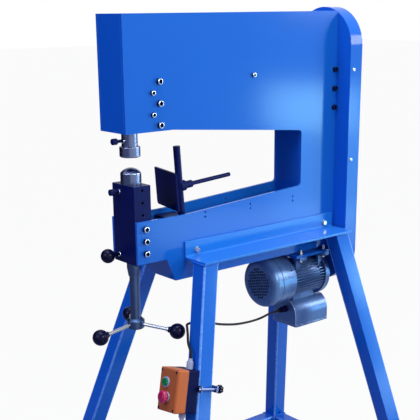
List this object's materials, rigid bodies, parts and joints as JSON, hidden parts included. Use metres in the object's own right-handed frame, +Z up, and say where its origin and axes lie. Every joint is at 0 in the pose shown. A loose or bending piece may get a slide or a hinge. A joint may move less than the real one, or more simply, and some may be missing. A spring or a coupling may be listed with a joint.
{
  "type": "planishing hammer",
  "caption": "Deep-throat planishing hammer with an eccentric-driven ram over an anvil raised by a hand wheel, on a splayed tubular stand with belt drive, electric motor and start-stop box.",
  "frame": {"origin": "on the floor, in the middle of the four feet, which is also the middle of the bounding box's base", "axes": "+Z up; +Y from the dies towards the rear guard; +X to the side that carries the control box"},
  "size_m": [0.84, 1.12, 1.702],
  "materials": {
    "blue_paint": "glossy blue enamel",
    "anvil_black": "black oxide, satin",
    "die_steel": "polished hard chrome",
    "screw_steel": "bright zinc",
    "plain_steel": "turned steel, lightly oiled",
    "housing_iron": "machined grey iron",
    "bronze": "machined bronze",
    "motor_grey": "silver-grey lacquer on cast aluminium",
    "black_plastic": "glossy black phenolic",
    "dark_base": "matte dark plastic",
    "orange_cover": "satin orange plastic",
    "pale_plastic": "light grey plastic",
    "green_plastic": "glossy green plastic",
    "red_plastic": "glossy red plastic",
    "belt_rubber": "matte black rubber"
  },
  "bodies": {
    "frame": {"side_plate_near": "blue_paint", "side_plate_far": "blue_paint", "head_front_plate": "blue_paint", "back_plate": "blue_paint", "arm_underside": "blue_paint", "belly_plate": "blue_paint", "head_housing": "housing_iron", "ram_bush": "bronze", "shaft_supports": "housing_iron", "shaft_bearings": "screw_steel", "large_cap_screws": "screw_steel", "small_cap_screws": "screw_steel", "anvil_block": "anvil_black", "screw_nut": "plain_steel", "guard_base": "blue_paint", "guard_cover": "blue_paint", "guard_screws": "screw_steel", "drive_belt": "belt_rubber", "side_rails": "blue_paint", "rail_bolts": "screw_steel", "front_legs": "blue_paint", "rear_legs": "blue_paint", "lower_stretchers": "blue_paint", "motor_plate": "blue_paint", "motor_studs": "screw_steel", "motor_body": "motor_grey", "motor_end_shield": "motor_grey", "fan_cover": "motor_grey", "terminal_box": "motor_grey", "terminal_lid": "motor_grey", "motor_gland": "black_plastic", "box_base": "dark_base", "box_cover": "orange_cover", "button_bezels": "pale_plastic", "box_glands": "pale_plastic", "box_clamp": "plain_steel", "motor_cable": "belt_rubber"},
    "main_shaft": {"main_shaft": "plain_steel", "shaft_pulley": "housing_iron"},
    "con_rod": {"con_rod": "housing_iron"},
    "ram": {"ram": "die_steel", "upper_die": "die_steel"},
    "upper_die_screw": {"upper_die_screw": "anvil_black"},
    "motor_rotor": {"motor_shaft": "plain_steel", "motor_fan": "black_plastic", "motor_pulley": "housing_iron"},
    "anvil_post": {"anvil_post": "plain_steel", "lower_die": "die_steel"},
    "hand_wheel": {"adjusting_screw": "plain_steel", "wheel_spokes": "screw_steel", "wheel_balls": "black_plastic"},
    "block_screw": {"block_thumb_screw": "anvil_black"},
    "lock_knob": {"lock_knob": "black_plastic"},
    "stop_carriage": {"stop_carriage": "anvil_black"},
    "stop_post": {"stop_post": "anvil_black"},
    "stop_handle": {"stop_handle": "anvil_black"},
    "start_button": {"start_button": "green_plastic"},
    "mushroom_button": {"mushroom_button": "red_plastic"},
    "clamp_knob": {"clamp_knob": "black_plastic"}
  },
  "joints": [
    {"name": "main_shaft_turn", "type": "hinge", "parent": "frame", "child": "main_shaft", "pos_m": [0, 0, 1.518], "axis": [0, 1, 0], "continuous": true},
    {"name": "motor_turn", "type": "hinge", "parent": "frame", "child": "motor_rotor", "pos_m": [0, 0, 0.87], "axis": [0, 1, 0], "continuous": true},
    {"name": "con_rod_turn", "type": "hinge", "parent": "main_shaft", "child": "con_rod", "pos_m": [0, -0.38, 1.522], "axis": [0, 1, 0], "continuous": true},
    {"name": "ram_slide", "type": "slide", "parent": "frame", "child": "ram", "axis": [0, 0, 1], "range_m": [-0.008, 0]},
    {"name": "upper_die_screw_turn", "type": "hinge", "parent": "ram", "child": "upper_die_screw", "pos_m": [0, -0.402, 1.364], "axis": [0, -1, 0], "range_deg": [-720, 0]},
    {"name": "anvil_rise", "type": "slide", "parent": "frame", "child": "anvil_post", "axis": [0, 0, 1], "range_m": [0, 0.018]},
    {"name": "wheel_turn", "type": "hinge", "parent": "anvil_post", "child": "hand_wheel", "pos_m": [0, -0.38, 0.847], "axis": [0, 0, 1], "range_deg": [0, 1620]},
    {"name": "block_screw_turn", "type": "hinge", "parent": "frame", "child": "block_screw", "pos_m": [-0.021, -0.407, 1.225], "axis": [0, -1, 0], "range_deg": [-720, 0]},
    {"name": "lock_knob_turn", "type": "hinge", "parent": "frame", "child": "lock_knob", "pos_m": [-0.03, -0.407, 1.048], "axis": [0, -1, 0], "range_deg": [-360, 0]},
    {"name": "stop_slide", "type": "slide", "parent": "frame", "child": "stop_carriage", "axis": [0, 1, 0], "range_m": [-0.02, 0.05]},
    {"name": "stop_swivel", "type": "hinge", "parent": "stop_carriage", "child": "stop_post", "pos_m": [0.033, -0.234, 1.136], "axis": [0, -0.0698, 0.9976], "range_deg": [-20, 25]},
    {"name": "stop_handle_turn", "type": "hinge", "parent": "stop_post", "child": "stop_handle", "pos_m": [0.033, -0.24028, 1.22578], "axis": [0, 0.9976, 0.0698], "range_deg": [-360, 0]},
    {"name": "start_press", "type": "slide", "parent": "frame", "child": "start_button", "axis": [0, 0.9647, -0.2633], "range_m": [0, 0.003], "stiffness_N_per_m": 400, "springref_m": -0.002},
    {"name": "stop_press", "type": "slide", "parent": "frame", "child": "mushroom_button", "axis": [0, 0.9647, -0.2633], "range_m": [0, 0.0035], "stiffness_N_per_m": 500, "springref_m": -0.002},
    {"name": "clamp_knob_turn", "type": "hinge", "parent": "frame", "child": "clamp_knob", "pos_m": [0.23588, -0.2803, 0.69151], "axis": [0, 0.9647, -0.2633], "range_deg": [0, 720]}
  ],
  "couplings": [
    {"joint": "motor_turn", "follows": "main_shaft_turn", "ratio": 2.8},
    {"joint": "con_rod_turn", "follows": "main_shaft_turn", "ratio": -1},
    {"joint": "anvil_rise", "follows": "wheel_turn", "m_per_rad": 0.00063662}
  ]
}
